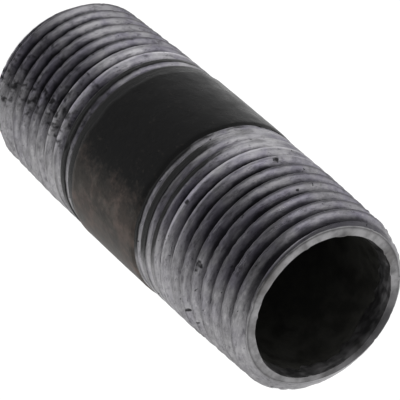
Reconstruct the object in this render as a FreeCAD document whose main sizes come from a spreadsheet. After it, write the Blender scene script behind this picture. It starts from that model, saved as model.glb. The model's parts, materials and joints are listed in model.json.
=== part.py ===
"""Black steel pipe nipple, nominal half inch and two inches long, with a tapered pipe thread on each end.

The nipple stands on its lower end face: +Z runs up the pipe's axis, and the origin is the centre
of that face. Sizes are millimetres. Three sub-parts share the axis:

  pipe_body       the steel pipe, with both threads, the outer chamfers and the reamed bore mouths
  barrel_coating  the black varnish film left on the plain barrel between the threads
  bore_coating    the dark film that lines the bore from one reamed mouth to the other
"""
import FreeCAD, Part
import os
import Sketcher

Vector = FreeCAD.Vector

# Driving dimensions: the cell's alias, its value and what it measures. Anything that lies along
# the axis at an end is measured from that end's face.
DIMENSIONS = [
    ("total_length", "50.8", "end face to end face"),
    ("outside_radius", "10.668", "over the coating on the plain barrel"),
    ("steel_radius", "10.505", "steel under the coating, as far as the crest cones"),
    ("bore_radius", "7.9", "inside the bore coating"),
    ("bore_film", "0.1", "thickness of the bore coating"),
    ("thread_pitch", "1.8143", "14 turns to the inch"),
    ("taper", "0.03125", "rise of the radius along the axis: 1 in 16 on the diameter"),
    ("crest_radius", "10.16", "thread crest, carried out to the end face"),
    ("thread_depth", "1.32", "crest to root"),
    ("root_width", "0.11", "floor of the groove"),
    ("cutter_depth", "1.37", "floor of the groove to the cutter's open side"),
    ("cutter_width", "1.69", "cutter at its open side, for flanks 60 degrees apart"),
    ("full_turns", "8", "turns cut on the taper, the run-in before the face included"),
    ("top_run_in", "1.83", "where the groove starts, before the top face"),
    ("bottom_run_in", "2.12", "where the groove starts, before the bottom face"),
    ("start_angle", "57", "how far round the axis from +X the grooves start, in degrees"),
    ("top_thread", "19.4", "top face to the last trace of its groove"),
    ("bottom_thread", "18.5", "bottom face to the last trace of its groove"),
    ("face_radius", "9.2", "outer edge of the flat end face"),
    ("chamfer_length", "1.0", "outer chamfer, along the axis"),
    ("mouth_radius", "8.2", "edge of the bore at the end face"),
    ("mouth_length", "0.8", "reamed mouth of the bore, along the axis"),
]

# A groove that removes less than this many cubic millimetres has missed the blank.
LEAST_CUT = 20.0


def make_sheet(doc):
    """Give every driving dimension a named cell."""
    sheet = doc.addObject("Spreadsheet::Sheet", "Size")
    for row, (alias, value, meaning) in enumerate(DIMENSIONS, start=1):
        sheet.set(f"A{row}", meaning)
        sheet.set(f"B{row}", value)
        sheet.setAlias(f"B{row}", alias)
    doc.recompute()


def new_body(doc, label):
    """Start a sub-part, whose label is also the name of its file."""
    body = doc.addObject("PartDesign::Body", label)
    body.Label = label
    return body


def closed_profile(body, name, corners):
    """Sketch a polygon on the body's XZ plane, with every corner bound to the sheet.

    Each corner is a pair of expressions: its radius from the axis and its height along it.
    """
    sketch = body.newObject("Sketcher::SketchObject", name)
    plane = next(item for item in body.Origin.OriginFeatures if item.Role == "XZ_Plane")
    sketch.AttachmentSupport = [(plane, "")]
    sketch.MapMode = "FlatFace"
    points = [Vector(*(float(sketch.evalExpression(text)) for text in corner), 0) for corner in corners]
    for start, end in zip(points, points[1:] + points[:1]):
        sketch.addGeometry(Part.LineSegment(start, end), False)
    for index, corner in enumerate(corners):
        following = (index + 1) % len(corners)
        sketch.addConstraint(Sketcher.Constraint("Coincident", index, 2, following, 1))
        for kind, text, value in zip(("DistanceX", "DistanceY"), corner, points[index]):
            number = sketch.addConstraint(Sketcher.Constraint(kind, -1, 1, index, 1, value))
            sketch.setExpression(f"Constraints[{number}]", text)
    body.Document.recompute()
    return sketch


def revolve(body, name, corners):
    """Turn a closed profile once round the axis."""
    sketch = closed_profile(body, f"{name}_profile", corners)
    turned = body.newObject("PartDesign::Revolution", name)
    turned.Profile = sketch
    turned.ReferenceAxis = (sketch, ["V_Axis"])
    turned.Angle = 360
    body.Document.recompute()


def cut_groove(body, name, root, height, turns, slope, downward):
    """Cut a right-hand V groove along a cone, up the axis or down it.

    root and height place the middle of the groove's floor at the start, turns is how far it runs,
    and slope is the rise of its floor for each millimetre along the axis.
    """
    corners = [
        (root, f"{height} - Size.root_width / 2"),
        (root, f"{height} + Size.root_width / 2"),
        (f"{root} + Size.cutter_depth", f"{height} + Size.cutter_width / 2"),
        (f"{root} + Size.cutter_depth", f"{height} - Size.cutter_width / 2"),
    ]
    uncut = body.Shape.Volume
    sketch = closed_profile(body, f"{name}_cutter", corners)
    groove = body.newObject("PartDesign::SubtractiveHelix", name)
    groove.Profile = sketch
    groove.ReferenceAxis = (sketch, ["V_Axis"])
    groove.Mode = "pitch-turns-angle"
    groove.setExpression("Pitch", "Size.thread_pitch * 1 mm")
    groove.setExpression("Turns", turns)
    groove.setExpression("Angle", f"atan({slope})")
    groove.Reversed = downward
    body.Document.recompute()
    if uncut - groove.Shape.Volume < LEAST_CUT:
        raise RuntimeError(f"{name} cut nothing")


def cut_thread(body, end, downward):
    """Cut one end's thread: full-depth turns on the taper, then turns that fade out to the barrel.

    Both stretches are cut on the same helix, so the fading groove starts where the full one stops.
    """
    def height(distance):
        return f"(Size.total_length - ({distance}))" if downward else f"({distance})"

    def root(distance):
        return f"(Size.crest_radius - Size.thread_depth + Size.taper * ({distance}))"

    start = f"-Size.{end}_run_in"
    fade = f"Size.thread_pitch * Size.full_turns - Size.{end}_run_in"
    fade_length = f"(Size.{end}_thread - ({fade}))"
    fade_rise = f"(Size.steel_radius - {root(fade)})"
    cut_groove(body, f"{end}_full_turns", root(start), height(start),
               "Size.full_turns", "Size.taper", downward)
    cut_groove(body, f"{end}_fading_turns", root(fade), height(fade),
               f"{fade_length} / Size.thread_pitch", f"{fade_rise} / {fade_length}", downward)


def make_pipe_body(doc):
    """The steel pipe: a turned blank with a crest cone on each end, then the two threads."""
    body = new_body(doc, "pipe_body")
    lower_half = [
        ("Size.bore_radius + Size.bore_film", "Size.mouth_length"),
        ("Size.mouth_radius", "0"),
        ("Size.face_radius", "0"),
        ("Size.crest_radius + Size.taper * Size.chamfer_length", "Size.chamfer_length"),
        ("Size.steel_radius", "(Size.steel_radius - Size.crest_radius) / Size.taper"),
    ]
    upper_half = [(radius, f"Size.total_length - ({height})") for radius, height in reversed(lower_half)]
    revolve(body, "blank", lower_half + upper_half)
    cut_thread(body, "bottom", downward=False)
    cut_thread(body, "top", downward=True)
    body.Placement.Rotation.Axis = Vector(0, 0, 1)
    body.setExpression("Placement.Rotation.Angle", "Size.start_angle * 1 deg")
    doc.recompute()
    return body


def make_sleeve(doc, label, inner, outer, low, high):
    """A thin round film between two radii, from height low to height high."""
    body = new_body(doc, label)
    length = f"{high} - {low}"
    revolve(body, f"{label}_film", [(inner, "0"), (outer, "0"), (outer, length), (inner, length)])
    body.setExpression("Placement.Base.z", f"({low}) * 1 mm")
    doc.recompute()
    return body


def make_barrel_coating(doc):
    """Black varnish on the plain barrel, from where one thread fades out to where the other does."""
    return make_sleeve(doc, "barrel_coating", "Size.steel_radius", "Size.outside_radius",
                       "Size.bottom_thread", "Size.total_length - Size.top_thread")


def make_bore_coating(doc):
    """Dark film in the bore, as far as the reamed mouths, where the bare steel shows."""
    return make_sleeve(doc, "bore_coating", "Size.bore_radius", "Size.bore_radius + Size.bore_film",
                       "Size.mouth_length", "Size.total_length - Size.mouth_length")


def check(doc, parts):
    """Stop before anything is written if a feature or a finished shape isn't sound."""
    for item in doc.Objects:
        if {"Invalid", "Error"} & set(item.State):
            raise RuntimeError(f"{item.Label} did not recompute: {item.State}")
    for part in parts:
        if part.Shape.isNull() or not part.Shape.isValid() or len(part.Shape.Solids) != 1:
            raise RuntimeError(f"{part.Label} is not one sound solid")


def main():
    doc = FreeCAD.newDocument("pipe_nipple")
    make_sheet(doc)
    parts = [make_pipe_body(doc), make_barrel_coating(doc), make_bore_coating(doc)]
    doc.recompute()
    check(doc, parts)
    os.makedirs("parts", exist_ok=True)
    for part in parts:
        part.Shape.exportStep(f"parts/{part.Label}.step")
        print(part.Label, round(part.Shape.Volume, 2), "mm3")


main()
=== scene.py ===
import json
import math

import bpy
import numpy as np
from mathutils import Matrix, Vector


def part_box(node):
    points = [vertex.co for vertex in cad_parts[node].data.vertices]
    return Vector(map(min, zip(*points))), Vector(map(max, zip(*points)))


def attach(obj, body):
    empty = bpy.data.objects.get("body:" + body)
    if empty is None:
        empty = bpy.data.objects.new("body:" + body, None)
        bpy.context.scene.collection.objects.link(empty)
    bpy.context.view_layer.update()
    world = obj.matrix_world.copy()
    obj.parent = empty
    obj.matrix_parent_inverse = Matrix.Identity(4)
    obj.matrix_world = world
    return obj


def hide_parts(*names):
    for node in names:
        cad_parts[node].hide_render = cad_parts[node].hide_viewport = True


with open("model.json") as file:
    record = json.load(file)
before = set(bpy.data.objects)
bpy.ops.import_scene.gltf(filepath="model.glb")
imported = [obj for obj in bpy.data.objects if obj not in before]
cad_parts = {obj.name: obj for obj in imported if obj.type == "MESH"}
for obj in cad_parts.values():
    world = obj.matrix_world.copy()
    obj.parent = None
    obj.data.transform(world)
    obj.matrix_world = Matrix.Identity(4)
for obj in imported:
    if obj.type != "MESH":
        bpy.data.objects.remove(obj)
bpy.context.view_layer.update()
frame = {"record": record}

bl_info = {
    "name": "Threaded pipe nipple",
    "version": (1, 0, 0),
    "blender": (4, 5, 0),
    "location": "3D View > Sidebar > Nipple",
    "description": "Builds a black steel pipe nipple around its CAD frame, with worn threads and varnish",
    "category": "Add Mesh",
}

MM = 0.001
TURN = 2 * math.pi
MOUNTS = {mount["name"]: mount for mount in frame["record"]["mounts"]}
PIPE_LOW, PIPE_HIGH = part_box("pipe_body")
FILM_LOW, FILM_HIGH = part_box("barrel_coating")
LINING_LOW, LINING_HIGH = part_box("bore_coating")

# Lines drawn along the thread in each pitch, as shares of it from the middle of the groove's floor.
THREAD_LINES = (0.03, 0.12, 0.22, 0.32, 0.40, 0.452, 0.50, 0.548, 0.60, 0.68, 0.78, 0.88, 0.97)

# Columns of vertices round every piece, the one that carries the sliver on the top rim, and each
# column's share of a turn.
COLUMNS = 240
BURR_COLUMN = 95
COLUMN_TURNS = np.arange(COLUMNS) / COLUMNS

# The pipe's two material slots.
CUT_STEEL, FACED_STEEL = 0, 1

# Numbers from 0 to 1 that the pipe's mesh carries for its finish: depth in the groove, worn crest,
# crest that the die left uncut, packed dirt with painted shade down the mouths, oil cover and a painted
# highlight on the key-lit side.
MARKS = ("groove", "crest", "uncut", "grime_and_shade", "oil", "lit_sheen")

# Directions round the axis, in degrees from +X: where the thread oil pools, the key-lit side where the
# steel gets a painted highlight, where the top's last crests stay blackest, and where the end faces are
# stained.
OILY_SIDE = 235
KEY_LIT_SIDE = 225
BLACK_SIDE = 284
STAINED_SIDE = 90

# Marks down one side, each as its direction, its half-width and its strength, with both angles in
# degrees: packed dirt on the bottom thread, and varnish rubbed brown on the barrel.
SMUDGES = ((264, 5, 0.52), (290, 16, 0.54))
RUBS = ((335, 54, 1.0), (120, 28, 0.7))

# The flanks' rise from the groove's floor, in degrees from the axis.
FLANK_RISE = 60

# Nearer an end face than this, the die has cut the crests as well as the grooves.
TOPPED_LENGTH = 11 * MM

# Chips are this much longer round the pipe than along it, and half as deep at this share of their
# radius.
CHIP_STRETCH = 1.5
CHIP_REACH = 0.85

# Where a chip sits, as a share of the way up from the middle of one groove to the next.
CREST_SHARE = 0.57

# Chips: degrees round the axis, height, radius and depth in millimetres. Each one sits on the crest
# that is nearest to its height.
CHIPS = (
    (219, 37.8, 0.52, 0.16),
    (277, 35.8, 0.42, 0.09),
    (300, 41.6, 0.42, 0.12),
    (304, 42.6, 0.30, 0.09),
    (337, 41.0, 0.42, 0.10),
    (341, 42.2, 0.28, 0.08),
    (300, 16.3, 0.40, 0.12),
    (297, 13.3, 0.36, 0.12),
    (290, 13.0, 0.34, 0.11),
    (279, 13.5, 0.36, 0.12),
    (294, 11.3, 0.36, 0.12),
    (286, 11.0, 0.38, 0.12),
    (276, 10.9, 0.34, 0.10),
    (295, 8.8, 0.36, 0.12),
    (289, 7.2, 0.34, 0.11),
    (297, 7.0, 0.34, 0.09),
    (284, 9.0, 0.34, 0.09),
    (35, 44.0, 0.35, 0.10),
    (120, 39.5, 0.45, 0.11),
    (160, 8.5, 0.40, 0.10),
)

# Strength of the cool tint on oily steel, in red, green and blue.
COOL_TINT = (0.86, 0.82, 1.02)

# Regions of the surround: direction, and the degrees from it within which the region is full and
# beyond which it is gone.
UNLIT_REGION = ((0.03, -0.30, 0.95), 6, 40)
KEY_REGION = ((-0.567, 0.033, 0.823), 5, 19)
FILL_REGION = ((0.66, 0.35, 0.66), 14, 42)
REAR_REGION = ((-0.25, 0.90, 0.35), 15, 45)
TABLE_RADIUS = 3.0


# --- sizes, finishes and studio -------------------------------------------------------------

class PipeSizes(bpy.types.PropertyGroup):
    """Sizes of the pipe and its two threads"""

    pitch: bpy.props.FloatProperty(
        name="Pitch", description="Distance along the axis from one thread to the next",
        default=1.8143 * MM, unit="LENGTH", precision=5)
    depth: bpy.props.FloatProperty(
        name="Thread depth", description="Crest to root, across the full-depth turns",
        default=1.32 * MM, unit="LENGTH", precision=5)
    root_width: bpy.props.FloatProperty(
        name="Root width", description="Flat floor of the groove",
        default=0.11 * MM, unit="LENGTH", precision=5)
    crest_radius: bpy.props.FloatProperty(
        name="Crest radius", description="Thread crest, carried out to the end face",
        default=10.16 * MM, unit="LENGTH", precision=5)
    taper: bpy.props.FloatProperty(
        name="Taper", description="Rise of the crest's radius for each unit along the axis",
        default=1 / 32, precision=5)
    steel_radius: bpy.props.FloatProperty(
        name="Steel radius", description="Steel under the barrel's varnish",
        default=10.505 * MM, unit="LENGTH", precision=5)
    face_radius: bpy.props.FloatProperty(
        name="Face radius", description="Outer edge of the flat end faces",
        default=9.2 * MM, unit="LENGTH", precision=5)
    chamfer: bpy.props.FloatProperty(
        name="Chamfer", description="Outer chamfer, along the axis",
        default=1.0 * MM, unit="LENGTH", precision=5)
    burr: bpy.props.FloatProperty(
        name="Burr", description="Reach of the one sliver left standing on the top rim",
        default=0.8 * MM, unit="LENGTH", precision=5)
    mouth_radius: bpy.props.FloatProperty(
        name="Mouth radius", description="Edge of the bore at the end faces",
        default=8.2 * MM, unit="LENGTH", precision=5)
    full_turns: bpy.props.IntProperty(
        name="Full turns", description="Turns at full depth, counted from where the die meets the end",
        default=8, min=1)
    fade_shape: bpy.props.FloatProperty(
        name="Fade shape", description="Below 1 the fading turns stay deep for longer",
        default=0.5, min=0.2, max=2)
    top_run_in: bpy.props.FloatProperty(
        name="Top run-in", description="Where the top groove starts, before the end face",
        default=1.83 * MM, unit="LENGTH", precision=5)
    bottom_run_in: bpy.props.FloatProperty(
        name="Bottom run-in", description="Where the bottom groove starts, before the end face",
        default=2.12 * MM, unit="LENGTH", precision=5)
    start_angle: bpy.props.FloatProperty(
        name="Start angle", description="How far round the axis both grooves start",
        default=math.radians(57), unit="ROTATION")


class WearSizes(bpy.types.PropertyGroup):
    """How rough the cut threads and the films are"""

    tear: bpy.props.FloatProperty(
        name="Crest tear", description="Deepest loss from a torn crest",
        default=0.10 * MM, unit="LENGTH", precision=5)
    crest_rounding: bpy.props.FloatProperty(
        name="Crest rounding", description="How softly the flanks run into the crests",
        default=0.20 * MM, unit="LENGTH", precision=5)
    edge_break: bpy.props.FloatProperty(
        name="Edge break", description="Rounding of the end faces' outer edges",
        default=0.08 * MM, unit="LENGTH", precision=5)
    chatter: bpy.props.FloatProperty(
        name="Chatter", description="Unevenness that the die leaves on the flanks",
        default=0.035 * MM, unit="LENGTH", precision=5)
    face_wave: bpy.props.FloatProperty(
        name="Face wave", description="Unevenness of the end faces' edges",
        default=0.15 * MM, unit="LENGTH", precision=5)
    film_edge: bpy.props.FloatProperty(
        name="Film edge", description="How far the barrel film's edge wanders",
        default=0.35 * MM, unit="LENGTH", precision=5)
    lining_edge: bpy.props.FloatProperty(
        name="Lining edge", description="How far the bore lining's edge wanders",
        default=2.2 * MM, unit="LENGTH", precision=5)


class FinishColours(bpy.types.PropertyGroup):
    """Colours of the steel, oil, varnish and scale"""

    steel: bpy.props.FloatVectorProperty(
        name="Cut steel", description="Bare steel on the thread's crests and flanks",
        default=(0.284, 0.280, 0.286), subtype="COLOR", min=0, max=1)
    # The thread oil colour also serves as painted shade in the grooves and on the crests.
    oil: bpy.props.FloatVectorProperty(
        name="Thread oil", description="Dark oil and swarf dust in the roots",
        default=(0.022, 0.021, 0.024), subtype="COLOR", min=0, max=1)
    varnish: bpy.props.FloatVectorProperty(
        name="Varnish", description="Black varnish on the barrel",
        default=(0.006, 0.006, 0.0062), subtype="COLOR", min=0, max=1)
    rub: bpy.props.FloatVectorProperty(
        name="Rubbed varnish", description="Brown scale that shows through rubbed varnish",
        default=(0.078, 0.070, 0.063), subtype="COLOR", min=0, max=1)
    rust: bpy.props.FloatVectorProperty(
        name="Rust", description="Redder spots in the rubbed varnish",
        default=(0.105, 0.080, 0.070), subtype="COLOR", min=0, max=1)
    lining: bpy.props.FloatVectorProperty(
        name="Bore lining", description="Dull film in the bore",
        default=(0.015, 0.0148, 0.0130), subtype="COLOR", min=0, max=1)


class StudioSettings(bpy.types.PropertyGroup):
    """Camera, lights and floor"""

    distance: bpy.props.FloatProperty(
        name="Camera distance", description="From the lens to the pipe's middle",
        default=362 * MM, unit="LENGTH")
    elevation: bpy.props.FloatProperty(
        name="Camera elevation", description="How steeply the camera looks down",
        default=math.radians(44.87), unit="ROTATION")
    roll: bpy.props.FloatProperty(
        name="Camera roll", description="Turn of the camera about its own line of sight",
        default=math.radians(-131.64), unit="ROTATION")
    lens: bpy.props.FloatProperty(
        name="Lens", description="Focal length in millimetres",
        default=309.0)
    across: bpy.props.FloatProperty(
        name="Framing across", description="Aim past the pipe's middle, to the right of the frame",
        default=1.0 * MM, unit="LENGTH")
    down: bpy.props.FloatProperty(
        name="Framing down", description="Aim past the pipe's middle, down the frame",
        default=1.18 * MM, unit="LENGTH")
    floor: bpy.props.FloatVectorProperty(
        name="Floor", description="Pale light table under the nipple",
        default=(0.9, 0.9, 0.9), subtype="COLOR", min=0, max=1)
    floor_glow: bpy.props.FloatProperty(
        name="Floor glow", description="Light that the table gives off itself",
        default=1.1, min=0)
    surround: bpy.props.FloatProperty(
        name="Surround", description="Brightness of the white walls round the table",
        default=0.68, min=0)
    key: bpy.props.FloatProperty(
        name="Key", description="Extra brightness of the large soft light on the -X side",
        default=1.0, min=0)
    fill: bpy.props.FloatProperty(
        name="Fill", description="Extra brightness of the broad light on the +X side",
        default=0.55, min=0)
    rear: bpy.props.FloatProperty(
        name="Rear light", description="Extra brightness of the wall behind the pipe",
        default=0.4, min=0)
    dark: bpy.props.FloatProperty(
        name="Dark patch", description="How much brightness the unlit patch overhead loses",
        default=0.92, min=0, max=1)


# --- shapes ---------------------------------------------------------------------------------

def smooth_step(value):
    """Ease from 0 to 1."""
    value = np.clip(value, 0, 1)
    return value * value * (3 - 2 * value)


def patches(seed, turn, height, cells_round, cell_height):
    """Smooth random patches from 0 to 1 that join up round the pipe.

    seed picks the pattern, turn is a share of a turn, and a cell is the spacing of the random values.
    """
    layers = 96
    lattice = np.random.default_rng(seed).random((layers, cells_round))
    across = (turn % 1.0) * cells_round
    up = height / cell_height + 7.3
    column, row = np.floor(across).astype(int), np.floor(up).astype(int)
    share, rise = smooth_step(across - column), smooth_step(up - row)

    def corner(step_up, step_round):
        return lattice[(row + step_up) % layers, (column + step_round) % cells_round]

    low = corner(0, 0) * (1 - share) + corner(0, 1) * share
    high = corner(1, 0) * (1 - share) + corner(1, 1) * share
    return low * (1 - rise) + high * rise


def ring_patches(seed, cells_round):
    """Patches from 0 to 1 along one ring of COLUMNS points."""
    return patches(seed, COLUMN_TURNS, np.zeros(COLUMNS), cells_round, 1.0)


def off_side(degrees, side):
    """Degrees between a direction round the axis and a side, whichever way round is shorter."""
    return np.abs((degrees - side + 180) % 360 - 180)


def from_face(end, height):
    """Distance of a height from the end's face."""
    return PIPE_HIGH.z - height if end == "top" else height - PIPE_LOW.z


def groove_start(sizes, end):
    """Height of the groove's middle where it crosses the +X side, at its start beyond the end face."""
    turned = sizes.pitch * sizes.start_angle / TURN
    if end == "top":
        return PIPE_HIGH.z + sizes.top_run_in - turned
    return PIPE_LOW.z - sizes.bottom_run_in - turned


def thread_length(end):
    """How far the thread reaches from its end face, to the edge of the barrel's film."""
    return PIPE_HIGH.z - FILM_HIGH.z if end == "top" else FILM_LOW.z


def cone_length(sizes):
    """Distance from the end face at which the tapered crests reach the steel's full radius."""
    return (sizes.steel_radius - sizes.crest_radius) / sizes.taper


def blank_radius(sizes, distance):
    """Radius of the turned blank before threading, at a distance from the end face."""
    chamfer_top = sizes.crest_radius + sizes.taper * sizes.chamfer
    chamfer = sizes.face_radius + (chamfer_top - sizes.face_radius) * distance / sizes.chamfer
    cone = sizes.crest_radius + sizes.taper * distance
    return np.minimum(np.minimum(chamfer, cone), sizes.steel_radius)


def soft_lower(first, second, reach):
    """The lower of two values, blended where they differ by less than reach."""
    share = np.clip(0.5 + 0.5 * (second - first) / reach, 0, 1)
    return second + (first - second) * share - reach * share * (1 - share)


def floor_radius(sizes, end, distance):
    """Radius of the groove's floor where its middle is at a distance from the end face."""
    run_in = sizes.top_run_in if end == "top" else sizes.bottom_run_in
    fade = sizes.pitch * sizes.full_turns - run_in
    full = sizes.crest_radius - sizes.depth + sizes.taper * distance
    at_fade = sizes.crest_radius - sizes.depth + sizes.taper * fade
    faded = np.clip((distance - fade) / (thread_length(end) - fade), 0, 1.5)
    climb = np.where(faded < 1, 1 - (1 - np.minimum(faded, 1)) ** sizes.fade_shape, faded)
    return np.where(distance < fade, full, at_fade + (sizes.steel_radius - at_fade) * climb)


def thread_radius(sizes, wear, end, turn, height):
    """Radius of the threaded end, as cut: the blank, less the groove on either side of each point."""
    phase = (height - groove_start(sizes, end)) / sizes.pitch - turn
    share = phase - np.floor(phase)
    radius = blank_radius(sizes, from_face(end, height))
    flank = math.tan(math.radians(FLANK_RISE))
    for offset in (share, share - 1):
        middle = from_face(end, height - offset * sizes.pitch)
        aside = np.maximum(np.abs(offset) * sizes.pitch - sizes.root_width / 2, 0)
        cut = floor_radius(sizes, end, middle) + aside * flank
        radius = soft_lower(radius, cut, wear.crest_rounding)
    return radius


def nearest_crest(sizes, end, degrees, height):
    """Height of the crest nearest to a place on the thread, to a tenth of a millimetre."""
    phase = (height - groove_start(sizes, end)) / sizes.pitch - degrees / 360
    away = (CREST_SHARE - phase + 0.5) % 1.0 - 0.5
    return round((height + away * sizes.pitch) / MM, 1) * MM


def worn_radius(sizes, wear, end, turn, height, radius):
    """Take torn crests, chatter and chips off a thread. Returns the worn radius and the packed dirt."""
    distance = from_face(end, height)
    blank = blank_radius(sizes, distance)
    crest = smooth_step(1 - (blank - radius) / (0.3 * sizes.depth))
    seed = 20 if end == "top" else 40
    ragged = patches(seed, turn, height, 150, 0.9 * MM) * patches(seed + 1, turn, height, 37, 2.3 * MM)
    torn = smooth_step((ragged - 0.30) / 0.45)
    ripple = patches(seed + 2, turn, height, 190, 0.35 * MM) - 0.5
    sway = patches(seed + 3, turn, height, 9, 4 * MM) - 0.5
    cut = smooth_step((blank - radius) / (0.05 * sizes.depth))
    cut = np.maximum(cut, (distance < TOPPED_LENGTH) * 1.0)
    worn = radius - wear.tear * crest * torn * cut + wear.chatter * (ripple + sway) * (0.4 + 0.6 * cut)
    grime_and_shade = np.zeros_like(radius)
    for degrees, level, width, deep in CHIPS:
        aside = ((turn - degrees / 360 + 0.5) % 1.0 - 0.5) * TURN * sizes.crest_radius
        above = height - nearest_crest(sizes, end, degrees, level * MM)
        gap = np.hypot(aside, above * CHIP_STRETCH) / (CHIP_REACH * width * MM)
        bite = smooth_step(1.5 - gap + 1.1 * ripple + 0.3 * sway)
        worn = worn - deep * MM * bite
        grime_and_shade = np.maximum(grime_and_shade, 0.85 * bite)
    if end == "bottom":
        for side, half_width, strength in SMUDGES:
            aside = off_side(turn * 360, side)
            grime_and_shade = np.maximum(grime_and_shade, strength * smooth_step(1.6 - aside / half_width + ripple))
    return np.minimum(worn, sizes.steel_radius), grime_and_shade


def oil_cover(end, turn, height):
    """How oily the threads are, from 0 to 1: the die's oil has pooled on one side."""
    drained = smooth_step((78 - off_side(turn * 360, OILY_SIDE)) / 36)
    blots = patches(12 if end == "top" else 14, turn, height, 16, 3.5 * MM)
    pooled = 0.70 if end == "top" else 0.90
    return np.clip(0.22 + pooled * drained + 0.30 * (blots - 0.5), 0, 1)


def left_uncut(sizes, end, turn, height, distance):
    """How much of the blank's black skin is left on the last crests, from 0 to 1."""
    start = cone_length(sizes) + 1.2 * sizes.pitch
    left = smooth_step((distance - start) / (2 * sizes.pitch))
    if end == "top":
        left = left * (0.50 + 0.50 * smooth_step((50 - off_side(turn * 360, BLACK_SIDE)) / 32))
    return np.clip(left * 1.1 - 0.3 * patches(16, turn, height, 46, 1.5 * MM), 0, 1)


def painted_highlight(end, turn, fading):
    """Painted highlight on the steel, from 0 to 1: most on the side that faces the key light and on the
    last turns.
    """
    rub_and_sheen = smooth_step((38 - off_side(turn * 360, KEY_LIT_SIDE)) / 24)
    base, last = (0.60, 0.7) if end == "bottom" else (0.16, 0.55)
    return np.clip(rub_and_sheen * (base + last * fading) + 0.10 * fading, 0, 1)


def ring_points(turn, height, radius):
    """Points round the axis, each at its share of a turn."""
    angle = turn * TURN
    level = np.broadcast_to(height, turn.shape)
    return np.stack([radius * np.cos(angle), radius * np.sin(angle), level], axis=1).tolist()


def ring_faces(first, second):
    """Quads between two rings of vertex numbers."""
    following = np.roll(np.arange(len(first)), -1)
    return np.stack([first, first[following], second[following], second], axis=1).tolist()


def thread_grid(sizes, wear, end):
    """Heights of the lines along a thread, as rows of COLUMNS points, held between the thread's limits.

    Row by row the lines follow the helix, so the last column meets the first one a pitch higher.
    """
    length = thread_length(end)
    low = PIPE_HIGH.z - length if end == "top" else PIPE_LOW.z + wear.edge_break
    high = PIPE_HIGH.z - wear.edge_break if end == "top" else PIPE_LOW.z + length
    start = groove_start(sizes, end)
    first = math.floor((low - start) / sizes.pitch) - 1
    pitches = math.ceil(length / sizes.pitch) + 3
    shares = np.concatenate([first + number + np.array(THREAD_LINES) for number in range(pitches)])
    heights = start + sizes.pitch * (shares[:, None] + COLUMN_TURNS[None, :])
    return np.clip(heights, low, high), low, high


def mesh_object(name, points, faces, smooth_angle):
    """Make a mesh object in the scene, smooth but for edges sharper than smooth_angle degrees."""
    mesh = bpy.data.meshes.new(name)
    mesh.from_pydata(np.asarray(points).tolist(), [], faces)
    mesh.validate()
    mesh.shade_smooth()
    mesh.set_sharp_from_angle(angle=math.radians(smooth_angle))
    piece = bpy.data.objects.new(name, mesh)
    bpy.context.scene.collection.objects.link(piece)
    return piece


def mark(piece, name, values):
    """Store one number for each vertex, for the material to read."""
    store = piece.data.attributes.new(name, "FLOAT", "POINT")
    store.data.foreach_set("value", np.asarray(values, np.float32))


def outward(piece):
    """Turn every face's normal outward."""
    bpy.context.view_layer.objects.active = piece
    bpy.ops.object.select_all(action="DESELECT")
    piece.select_set(True)
    bpy.ops.object.mode_set(mode="EDIT")
    bpy.ops.mesh.select_all(action="SELECT")
    bpy.ops.mesh.normals_make_consistent(inside=False)
    bpy.ops.object.mode_set(mode="OBJECT")


class PipeSkin:
    """Collects the vertices, faces and marks of the pipe's one closed surface."""

    def __init__(self):
        self.points = []
        self.marks = {name: [] for name in MARKS}
        self.faces = []
        self.face_slots = []

    def add(self, turn, height, radius, marks):
        """Add one ring or row of vertices and return their numbers. Marks that aren't given are 0."""
        start = len(self.points)
        self.points += ring_points(turn, height, radius)
        for name, store in self.marks.items():
            store += np.broadcast_to(marks.get(name, 0.0), turn.shape).tolist()
        return np.arange(start, len(self.points))

    def skin(self, faces, slot):
        """Add faces that share a material slot, leaving out corners that fall together."""
        for face in faces:
            corners = list(dict.fromkeys(face))
            if len(corners) > 2:
                self.faces.append(corners)
                self.face_slots.append(slot)


def thread_marks(sizes, end, turns, heights, gap, grime_and_shade):
    """The marks that a thread's points carry, from the gap between the blank and the thread as cut."""
    distance = from_face(end, heights)
    fading = smooth_step((distance - cone_length(sizes)) / (1.5 * sizes.pitch))
    return {
        "groove": np.clip(gap / sizes.depth, 0, 1),
        "crest": smooth_step(1 - gap / (0.17 * MM)) * (1 - fading),
        "uncut": smooth_step(1.25 - gap / (0.10 * MM)) * left_uncut(sizes, end, turns, heights, distance),
        "grime_and_shade": grime_and_shade,
        "oil": oil_cover(end, turns, heights),
        "lit_sheen": painted_highlight(end, turns, fading),
    # Painted highlight, strongest on the side that faces the key light.
    }


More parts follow.
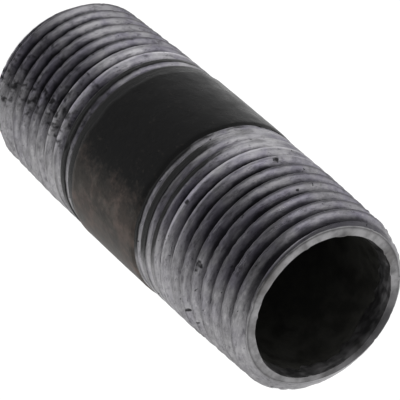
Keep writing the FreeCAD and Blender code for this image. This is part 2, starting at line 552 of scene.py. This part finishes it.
def add_thread(pipe, sizes, wear, end):
    """Skin one threaded end and return its lowest and highest rings."""
    heights, low, high = thread_grid(sizes, wear, end)
    rows = heights.shape[0]
    turns = np.broadcast_to(COLUMN_TURNS, heights.shape)
    radius = thread_radius(sizes, wear, end, turns, heights)
    gap = blank_radius(sizes, from_face(end, heights)) - radius
    worn, grime_and_shade = worn_radius(sizes, wear, end, turns, heights, radius)
    marks = thread_marks(sizes, end, turns, heights, gap, grime_and_shade)
    at_low, at_high = heights <= low + 1e-9, heights >= high - 1e-9
    columns = np.arange(COLUMNS)
    if end == "top":
        worn = worn + sizes.burr * (at_high & (columns == BURR_COLUMN))
    rings = []
    for level, row in ((low, at_low.sum(axis=0) - 1), (high, rows - at_high.sum(axis=0))):
        picked = {name: values[row, columns] for name, values in marks.items()}
        rings.append(pipe.add(COLUMN_TURNS, level, worn[row, columns], picked))
    numbers = np.zeros(heights.shape, int)
    for row in range(rows):
        free = ~(at_low[row] | at_high[row])
        numbers[row] = np.where(at_low[row], rings[0], rings[1])
        picked = {name: values[row, free] for name, values in marks.items()}
        numbers[row, free] = pipe.add(COLUMN_TURNS[free], heights[row, free], worn[row, free], picked)
    # Once round the pipe, a row has climbed a pitch, so it meets the row one set of lines above it.
    wrapped = numbers[np.minimum(np.arange(rows) + len(THREAD_LINES), rows - 1), 0]
    beside = np.concatenate([numbers[:, 1:], wrapped[:, None]], axis=1)
    for row in range(rows - 1):
        quads = np.stack([numbers[row], beside[row], beside[row + 1], numbers[row + 1]], axis=1)
        pipe.skin(quads.tolist(), CUT_STEEL)
    return rings


def add_mouth(pipe, sizes, wear, end, edge_ring):
    """Skin one end face and its reamed mouth, and return the ring where the bore's wall starts."""
    face = PIPE_HIGH.z if end == "top" else PIPE_LOW.z
    inward = -1 if end == "top" else 1
    mouth_length = LINING_LOW.z - PIPE_LOW.z
    bore_radius = LINING_HIGH.x
    seed = 60 if end == "top" else 70
    wave = ring_patches(seed, 48) - 0.5
    nick = smooth_step((ring_patches(seed + 1, 70) - 0.72) / 0.2)
    edge = np.array([math.hypot(*pipe.points[number][:2]) for number in edge_ring])
    mouth = sizes.mouth_radius + wear.face_wave * (wave - nick * 0.8)
    stain = 0.85 * smooth_step(1 - off_side(COLUMN_TURNS * 360, STAINED_SIDE) / 85)
    stain = np.clip(stain + 0.35 * (ring_patches(seed + 2, 20) - 0.5), 0, 1)
    ring = edge_ring

    def add_ring(depth, radius, darkening):
        following = pipe.add(COLUMN_TURNS, face + inward * depth, radius, {"grime_and_shade": darkening})
        pipe.skin(ring_faces(ring, following), FACED_STEEL)
        return following

    # Across the face: share of the way in from its outer edge, depth below it, and how much darker it is
    # there.
    for share, dip, edge_dark in ((0.13, 0.0, 0.6), (0.26, 0.0, 0.35), (0.42, 0.0, 0), (0.90, 0.012, 0)):
        darkening = np.maximum(np.maximum(nick * share * 0.6, stain), edge_dark)
        ring = add_ring(dip * MM, edge + (mouth - edge) * share, darkening)
    # Down the mouth, and on under the lining, in mouth lengths: darker the deeper it goes, as painted
    # shade.
    for share in (0.0, 0.25, 0.6, 1.0, 3.5):
        narrowed = np.maximum(mouth + (bore_radius - mouth) * min(share, 1.0), bore_radius)
        darkening = np.maximum(stain * 0.8, 0.25 + 0.1 * share)
        ring = add_ring(0.05 * MM + mouth_length * share, narrowed, darkening)
    return ring


def build_pipe(sizes, wear):
    """The steel pipe: two worn threads, chamfers, end faces and reamed mouths, as one closed mesh."""
    pipe = PipeSkin()
    bottom_low, bottom_high = add_thread(pipe, sizes, wear, "bottom")
    top_low, top_high = add_thread(pipe, sizes, wear, "top")
    pipe.skin(ring_faces(bottom_high, top_low), CUT_STEEL)
    bottom_bore = add_mouth(pipe, sizes, wear, "bottom", bottom_low)
    top_bore = add_mouth(pipe, sizes, wear, "top", top_high)
    pipe.skin(ring_faces(bottom_bore, top_bore), FACED_STEEL)
    piece = mesh_object("steel_pipe", pipe.points, pipe.faces, 38)
    if len(piece.data.polygons) != len(pipe.face_slots):
        raise RuntimeError("the pipe's mesh lost faces")
    piece.data.polygons.foreach_set("material_index", pipe.face_slots)
    for name, values in pipe.marks.items():
        mark(piece, name, values)
    outward(piece)
    return piece


def build_sleeve(name, low_edge, high_edge, inner, outer, exposed, feather, skin):
    """A closed film with wandering, feathered edges.

    inner and outer are its radii. exposed says which one shows, and so is feathered, over one length at
    its low edge and another at its high edge, and carries skin, a function of turn and height that
    gives the unevenness of that face.
    """
    low_feather, high_feather = feather
    middle_low, middle_high = low_edge + low_feather, high_edge - high_feather
    steps = np.linspace(0, 1, 5)
    rows = [low_edge + step * low_feather for step in steps]
    rows += [middle_low + (middle_high - middle_low) * share for share in np.linspace(0, 1, 26)[1:-1]]
    rows += [high_edge - step * high_feather for step in steps[::-1]]
    shown, hidden = (outer, inner) if exposed == "outer" else (inner, outer)
    points, rings = [], []

    def add_ring(height, radius):
        rings.append(np.arange(COLUMNS) + len(points))
        points.extend(ring_points(COLUMN_TURNS, height, radius))

    for row in rows:
        from_edge = np.minimum((row - low_edge) / low_feather, (high_edge - row) / high_feather)
        full = smooth_step(0.12 + 0.88 * from_edge)
        add_ring(row, hidden + (shown - hidden) * full + skin(COLUMN_TURNS, row) * full)
    add_ring(rows[-1], hidden)
    add_ring(rows[0], hidden)
    faces = []
    for number, ring in enumerate(rings):
        faces += ring_faces(ring, rings[(number + 1) % len(rings)])
    piece = mesh_object(name, points, faces, 50)
    outward(piece)
    return piece


def build_barrel_film(sizes, wear):
    """The varnish on the barrel, lumpy outside, with a mark for how far it is rubbed brown."""
    outer = MOUNTS["barrel"]["dims"]["r_mm"] * MM
    low = FILM_LOW.z + wear.film_edge * ring_patches(80, 34)
    high = FILM_HIGH.z - wear.film_edge * ring_patches(81, 34)

    def skin(turn, height):
        lumps = patches(82, turn, height, 110, 0.7 * MM) * patches(83, turn, height, 23, 3 * MM)
        return -0.05 * MM * lumps

    piece = build_sleeve("barrel_varnish", low, high, sizes.steel_radius, outer, "outer",
                         (0.12 * MM, 0.6 * MM), skin)
    place = np.array([vertex.co for vertex in piece.data.vertices])
    round_axis = np.degrees(np.arctan2(place[:, 1], place[:, 0])) % 360
    rub = np.zeros(len(place))
    for side, half_width, strength in RUBS:
        rub = np.maximum(rub, strength * smooth_step(1.5 * (1 - off_side(round_axis, side) / half_width)))
    mark(piece, "rub", rub)
    return piece


def build_bore_film(wear):
    """The lining in the bore, with ragged edges inside the reamed mouths."""
    inner = MOUNTS["bore"]["dims"]["r_mm"] * MM

    def ragged(seed):
        return ring_patches(seed, 13) * 0.6 + ring_patches(seed + 1, 60) * 0.4

    def skin(turn, height):
        return 0.03 * MM * patches(98, turn, height, 90, 1.0 * MM)

    low = LINING_LOW.z + wear.lining_edge * ragged(90)
    high = LINING_HIGH.z - wear.lining_edge * ragged(94)
    return build_sleeve("bore_lining", low, high, inner, LINING_HIGH.x, "inner", (0.5 * MM, 0.5 * MM), skin)


# --- finishes -------------------------------------------------------------------------------

class Finish:
    """A node material under construction."""

    def __init__(self, name):
        self.material = bpy.data.materials.new(name)
        self.material.use_nodes = True
        self.tree = self.material.node_tree
        self.shader = self.tree.nodes["Principled BSDF"]
        self.place = self.tree.nodes.new("ShaderNodeTexCoord").outputs["Object"]

    def node(self, kind, inputs=(), **settings):
        """Add a node, set its properties, and link or set its inputs, given as (socket, value)."""
        made = self.tree.nodes.new(kind)
        for key, value in settings.items():
            setattr(made, key, value)
        for socket, value in inputs:
            self.feed(made.inputs[socket], value)
        return made

    def feed(self, socket, value):
        """Link an output to a socket, or set the socket's own value."""
        if isinstance(value, bpy.types.NodeSocket):
            self.tree.links.new(value, socket)
        else:
            socket.default_value = value

    def noise(self, scale, detail=4.0, roughness=0.55, stretch=(1, 1, 1), shift=(0, 0, 0)):
        """Noise fixed to the piece, with scale in features per metre. Returns its value output."""
        mapping = self.node("ShaderNodeMapping", [("Vector", self.place), ("Scale", stretch),
                                                  ("Location", shift)])
        return self.node("ShaderNodeTexNoise", [
            ("Vector", mapping.outputs["Vector"]), ("Scale", scale), ("Detail", detail),
            ("Roughness", roughness)]).outputs["Fac"]

    def ramp(self, value, low, high, to_low=0.0, to_high=1.0):
        """Map a value between two limits smoothly onto two others."""
        return self.node("ShaderNodeMapRange", [
            ("Value", value), ("From Min", low), ("From Max", high), ("To Min", to_low),
            ("To Max", to_high)], interpolation_type="SMOOTHSTEP").outputs["Result"]

    def math(self, operation, first, second):
        """Work out one value from two."""
        return self.node("ShaderNodeMath", [(0, first), (1, second)], operation=operation).outputs["Value"]

    def swing(self, noise, reach=None):
        """Noise moved to lie about 0, and scaled where a reach is given."""
        centred = self.math("SUBTRACT", noise, 0.5)
        return centred if reach is None else self.math("MULTIPLY", centred, reach)

    def mix(self, share, first, second):
        """Mix two colours."""
        made = self.node("ShaderNodeMix", [("Factor", share)], data_type="RGBA")
        self.feed(made.inputs[6], first)
        self.feed(made.inputs[7], second)
        return made.outputs[2]

    def read(self, name):
        """Read a number stored on the mesh."""
        return self.node("ShaderNodeAttribute", attribute_name=name).outputs["Fac"]

    def bump(self, layers):
        """Stack bumps, each a (height, distance in metres) pair."""
        normal = None
        for height, distance in layers:
            inputs = [("Height", height), ("Distance", distance), ("Strength", 1.0)]
            if normal is not None:
                inputs.append(("Normal", normal))
            normal = self.node("ShaderNodeBump", inputs).outputs["Normal"]
        self.feed(self.shader.inputs["Normal"], normal)


def rgba(colour, scale=1.0):
    """A colour property as a four-number colour."""
    return (colour[0] * scale, colour[1] * scale, colour[2] * scale, 1.0)


def threaded_steel(colours):
    """Die-cut steel: grey crests, dark oil and painted shade in the roots, drawn-out tool marks and black
    specks.
    """
    finish = Finish("threaded_steel")
    marks = finish.noise(290, 5, 0.62, stretch=(1, 1, 12))
    grit = finish.noise(900, 5, 0.72, stretch=(1, 1, 5), shift=(4, 1, 3))
    mottle = finish.noise(330, 4, 0.6)
    specks = finish.noise(1500, 2, 0.5, shift=(3, 1, 2))
    oil = finish.read("oil")
    lit_sheen = finish.read("lit_sheen")

    # Bare steel, lighter as a painted highlight on the key-lit side, with a cool tint under the oil, and
    # grit.
    dull = finish.mix(lit_sheen, rgba(colours.steel, 0.70), rgba(colours.steel, 1.55))
    bright = finish.mix(lit_sheen, rgba(colours.steel, 1.20), rgba(colours.steel, 2.60))
    lustre = finish.mix(finish.ramp(marks, 0.34, 0.68), dull, bright)
    tinted = finish.math("MULTIPLY", finish.ramp(mottle, 0.35, 0.65, 0.2, 0.8), oil)
    tint = tuple(part * strength for part, strength in zip(colours.steel, COOL_TINT)) + (1.0,)
    cool = finish.mix(tinted, lustre, tint)
    sparkling = finish.mix(finish.ramp(grit, 0.52, 0.72, 0.0, 0.5), cool, rgba(colours.steel, 2.0))
    gritty = finish.mix(finish.ramp(grit, 0.50, 0.30, 0.0, 0.65), sparkling, rgba(colours.oil, 3))

    # Oil on the crests and in the grooves. On the crests it is also painted shade, for a dimmer reflection
    # than the glowing table gives.
    crest = finish.math("MULTIPLY", finish.math("MULTIPLY", finish.read("crest"), 0.8), oil)
    dimmed_crests = finish.mix(crest, gritty, rgba(colours.oil, 1.5))
    # Darker the deeper the groove: oil in the roots, and painted shade where the flanks close in.
    depth = finish.math("ADD", finish.read("groove"), finish.swing(mottle, 0.6))
    groove = finish.math("MULTIPLY", finish.ramp(depth, 0.24, 0.70, 0.0, 0.97), oil)
    oiled_and_shaded = finish.mix(groove, dimmed_crests, rgba(colours.oil))

    # Specks and packed dirt, then the black skin on crests that the die left uncut.
    speck = finish.ramp(specks, 0.69, 0.75, 0.0, 0.85)
    packed = finish.math("ADD", finish.swing(specks, 1.7), finish.read("grime_and_shade"))
    dirty = finish.math("MAXIMUM", speck, finish.ramp(packed, 0.38, 0.90, 0.0, 0.93))
    specked = finish.mix(dirty, oiled_and_shaded, rgba(colours.oil, 0.45))
    coated = finish.ramp(finish.math("ADD", finish.read("uncut"), finish.swing(grit)), 0.05, 0.75)
    finish.feed(finish.shader.inputs["Base Color"], finish.mix(coated, specked, rgba(colours.varnish)))
    bare = finish.math("SUBTRACT", 1.0, finish.math("MAXIMUM", dirty, coated))
    finish.feed(finish.shader.inputs["Metallic"], finish.ramp(bare, 0.0, 1.0, 0.15, 1.0))
    finish.feed(finish.shader.inputs["Roughness"], finish.ramp(marks, 0.25, 0.75, 0.26, 0.42))
    finish.shader.inputs["Specular IOR Level"].default_value = 0.12
    finish.bump([(marks, 0.00006), (grit, 0.00003)])
    return finish.material


def faced_steel(colours):
    """Parted and reamed steel on the end faces and in the mouths."""
    finish = Finish("faced_steel")
    streaks = finish.noise(700, 4, 0.6, stretch=(1, 1, 2))
    blotch = finish.noise(260, 3, 0.5, shift=(1, 4, 2))
    tone = finish.mix(finish.ramp(streaks, 0.3, 0.7), rgba(colours.steel, 0.60), rgba(colours.steel, 1.30))
    stained = finish.mix(finish.ramp(blotch, 0.45, 0.70, 0.0, 0.6), tone, rgba(colours.rub, 0.8))
    # Darkened toward the oil colour by the mesh's mark: dirt and stains on the faces, painted shade down
    # the mouths.
    dark = finish.ramp(finish.read("grime_and_shade"), 0.1, 0.9, 0.0, 0.85)
    finish.feed(finish.shader.inputs["Base Color"], finish.mix(dark, stained, rgba(colours.oil)))
    finish.shader.inputs["Metallic"].default_value = 0.9
    finish.feed(finish.shader.inputs["Roughness"], finish.ramp(streaks, 0.3, 0.7, 0.34, 0.55))
    finish.bump([(streaks, 0.00005), (blotch, 0.00008)])
    return finish.material


def black_varnish(colours):
    """Black varnish over mill scale, rubbed brown down one side."""
    finish = Finish("black_varnish")
    scale = finish.noise(520, 5, 0.6)
    grain = finish.noise(1900, 3, 0.6)
    patch = finish.noise(240, 4, 0.65, stretch=(1, 1, 0.7), shift=(2, 2, 5))
    patchy = finish.math("ADD", finish.read("rub"), finish.swing(patch, 0.8))
    rub_and_sheen = finish.ramp(finish.math("ADD", patchy, finish.swing(grain, 0.9)), 0.05, 1.10)
    rust = finish.mix(finish.ramp(patch, 0.42, 0.62), rgba(colours.rub), rgba(colours.rust))
    brown = finish.mix(finish.ramp(scale, 0.36, 0.64, 0.75, 0.0), rust, rgba(colours.rub, 0.35))
    dust = finish.ramp(grain, 0.62, 0.74, 0.0, 0.5)
    dusty = finish.mix(dust, rgba(colours.varnish), rgba(colours.rub, 0.35))
    finish.feed(finish.shader.inputs["Base Color"], finish.mix(rub_and_sheen, dusty, brown))
    gloss = finish.ramp(scale, 0.3, 0.7, 0.24, 0.38)
    finish.feed(finish.shader.inputs["Roughness"],
                finish.math("ADD", gloss, finish.math("MULTIPLY", rub_and_sheen, 0.16)))
    finish.shader.inputs["Specular IOR Level"].default_value = 0.05
    finish.bump([(scale, 0.00006), (grain, 0.00002)])
    return finish.material


def bore_film(colours):
    """Dull black film in the bore."""
    finish = Finish("bore_film")
    crust = finish.noise(600, 5, 0.6)
    crusted = finish.mix(finish.ramp(crust, 0.35, 0.7), rgba(colours.lining), rgba(colours.lining, 2.2))
    finish.feed(finish.shader.inputs["Base Color"], crusted)
    finish.feed(finish.shader.inputs["Roughness"], finish.ramp(crust, 0.3, 0.7, 0.55, 0.75))
    finish.shader.inputs["Specular IOR Level"].default_value = 0.2
    finish.bump([(crust, 0.00008)])
    return finish.material


def table_top(studio):
    """Pale, faintly clouded light table, which glows more than it reflects."""
    finish = Finish("light_table")
    cloud = finish.noise(3, 2, 0.5)
    shade = finish.mix(finish.ramp(cloud, 0.3, 0.7), rgba(studio.floor, 0.985), rgba(studio.floor))
    finish.feed(finish.shader.inputs["Base Color"], finish.mix(0.85, shade, (0.0, 0.0, 0.0, 1.0)))
    finish.feed(finish.shader.inputs["Emission Color"], shade)
    finish.shader.inputs["Emission Strength"].default_value = studio.floor_glow
    finish.shader.inputs["Roughness"].default_value = 0.9
    finish.shader.inputs["Specular IOR Level"].default_value = 0.0
    return finish.material


# --- operators ------------------------------------------------------------------------------

class NIPPLE_OT_pipe(bpy.types.Operator):
    """Make the steel pipe with its two worn threads"""

    bl_idname = "nipple.pipe"
    bl_label = "Steel pipe"

    def execute(self, context):
        scene = context.scene
        piece = build_pipe(scene.nipple_sizes, scene.nipple_wear)
        piece.data.materials.append(threaded_steel(scene.nipple_colours))
        piece.data.materials.append(faced_steel(scene.nipple_colours))
        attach(piece, "root")
        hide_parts("pipe_body")
        return {"FINISHED"}


class NIPPLE_OT_barrel_film(bpy.types.Operator):
    """Varnish the plain barrel between the threads"""

    bl_idname = "nipple.barrel_film"
    bl_label = "Barrel varnish"

    def execute(self, context):
        scene = context.scene
        piece = build_barrel_film(scene.nipple_sizes, scene.nipple_wear)
        piece.data.materials.append(black_varnish(scene.nipple_colours))
        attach(piece, "root")
        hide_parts("barrel_coating")
        return {"FINISHED"}


class NIPPLE_OT_bore_film(bpy.types.Operator):
    """Line the bore with its dark film"""

    bl_idname = "nipple.bore_film"
    bl_label = "Bore lining"

    def execute(self, context):
        scene = context.scene
        piece = build_bore_film(scene.nipple_wear)
        piece.data.materials.append(bore_film(scene.nipple_colours))
        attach(piece, "root")
        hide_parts("bore_coating")
        return {"FINISHED"}


def add_camera(studio):
    """Place the camera above and in front, rolled so that the pipe lies across the frame."""
    middle = Vector((0, 0, (PIPE_LOW.z + PIPE_HIGH.z) / 2))
    ahead = Vector((0, math.cos(studio.elevation), -math.sin(studio.elevation)))
    right = Matrix.Rotation(studio.roll, 3, ahead) @ Vector((1, 0, 0))
    up = right.cross(ahead)
    place = middle - ahead * studio.distance + right * studio.across - up * studio.down
    camera = bpy.data.objects.new("camera", bpy.data.cameras.new("camera"))
    camera.data.lens = studio.lens
    camera.data.clip_start = 0.01
    camera.matrix_world = Matrix.Translation(place) @ Matrix((right, up, -ahead)).transposed().to_4x4()
    bpy.context.scene.collection.objects.link(camera)
    bpy.context.scene.camera = camera


def add_surround(studio):
    """White walls with three soft lights, and an unlit patch overhead on the camera's side."""
    world = bpy.data.worlds.new("studio")
    bpy.context.scene.world = world
    world.use_nodes = True
    tree = world.node_tree
    direction = tree.nodes.new("ShaderNodeTexCoord").outputs["Generated"]

    def math_node(operation, first, second):
        made = tree.nodes.new("ShaderNodeMath")
        made.operation = operation
        for socket, value in zip(made.inputs, (first, second)):
            if isinstance(value, bpy.types.NodeSocket):
                tree.links.new(value, socket)
            else:
                socket.default_value = value
        return made.outputs["Value"]

    def region(towards, inner, outer):
        """1 within inner degrees of a direction, easing to 0 at outer degrees."""
        dot = tree.nodes.new("ShaderNodeVectorMath")
        dot.operation = "DOT_PRODUCT"
        tree.links.new(direction, dot.inputs[0])
        dot.inputs[1].default_value = Vector(towards).normalized()
        ease = tree.nodes.new("ShaderNodeMapRange")
        ease.interpolation_type = "SMOOTHSTEP"
        tree.links.new(dot.outputs["Value"], ease.inputs["Value"])
        ease.inputs["From Min"].default_value = math.cos(math.radians(outer))
        ease.inputs["From Max"].default_value = math.cos(math.radians(inner))
        return ease.outputs["Result"]

    unlit = math_node("MULTIPLY", region(*UNLIT_REGION), studio.dark)
    walls = math_node("MULTIPLY", math_node("SUBTRACT", 1.0, unlit), studio.surround)
    key = math_node("MULTIPLY", region(*KEY_REGION), studio.key)
    fill = math_node("MULTIPLY", region(*FILL_REGION), studio.fill)
    rear = math_node("MULTIPLY", region(*REAR_REGION), studio.rear)
    background = tree.nodes["Background"]
    lights = math_node("ADD", key, math_node("ADD", fill, rear))
    tree.links.new(math_node("ADD", walls, lights), background.inputs["Strength"])
    background.inputs["Color"].default_value = (1.0, 1.0, 1.0, 1.0)


def add_table(studio):
    """A round light table under the nipple, wide enough to fill every view."""
    bpy.ops.mesh.primitive_circle_add(vertices=96, radius=TABLE_RADIUS, fill_type="NGON",
                                      location=(0, 0, PIPE_LOW.z))
    table = bpy.context.object
    table.name = "light_table"
    table.data.materials.append(table_top(studio))


class NIPPLE_OT_stage(bpy.types.Operator):
    """Set the camera, the light table and the soft surround"""

    bl_idname = "nipple.stage"
    bl_label = "Stage"

    def execute(self, context):
        studio = context.scene.nipple_studio
        context.scene.view_settings.view_transform = "Standard"
        add_camera(studio)
        add_surround(studio)
        add_table(studio)
        return {"FINISHED"}


class NIPPLE_PT_sidebar(bpy.types.Panel):
    """Sizes, colours and the steps that build the nipple"""

    bl_idname = "NIPPLE_PT_sidebar"
    bl_label = "Pipe nipple"
    bl_space_type = "VIEW_3D"
    bl_region_type = "UI"
    bl_category = "Nipple"

    def draw(self, context):
        for operator in OPERATORS:
            self.layout.operator(operator.bl_idname)
        for group in SETTINGS:
            box = self.layout.box()
            for name in SETTINGS[group].__annotations__:
                box.prop(getattr(context.scene, group), name)


SETTINGS = {
    "nipple_sizes": PipeSizes,
    "nipple_wear": WearSizes,
    "nipple_colours": FinishColours,
    "nipple_studio": StudioSettings,
}
OPERATORS = (NIPPLE_OT_stage, NIPPLE_OT_pipe, NIPPLE_OT_barrel_film, NIPPLE_OT_bore_film)


def register():
    for group, kind in SETTINGS.items():
        bpy.utils.register_class(kind)
        setattr(bpy.types.Scene, group, bpy.props.PointerProperty(type=kind))
    for kind in OPERATORS + (NIPPLE_PT_sidebar,):
        bpy.utils.register_class(kind)


def unregister():
    for kind in (NIPPLE_PT_sidebar,) + OPERATORS[::-1]:
        bpy.utils.unregister_class(kind)
    for group, kind in SETTINGS.items():
        delattr(bpy.types.Scene, group)
        bpy.utils.unregister_class(kind)


def main():
    """Build everything in order."""
    register()
    bpy.ops.nipple.stage()
    bpy.ops.nipple.pipe()
    bpy.ops.nipple.barrel_film()
    bpy.ops.nipple.bore_film()


if __name__ == "__main__":
    main()
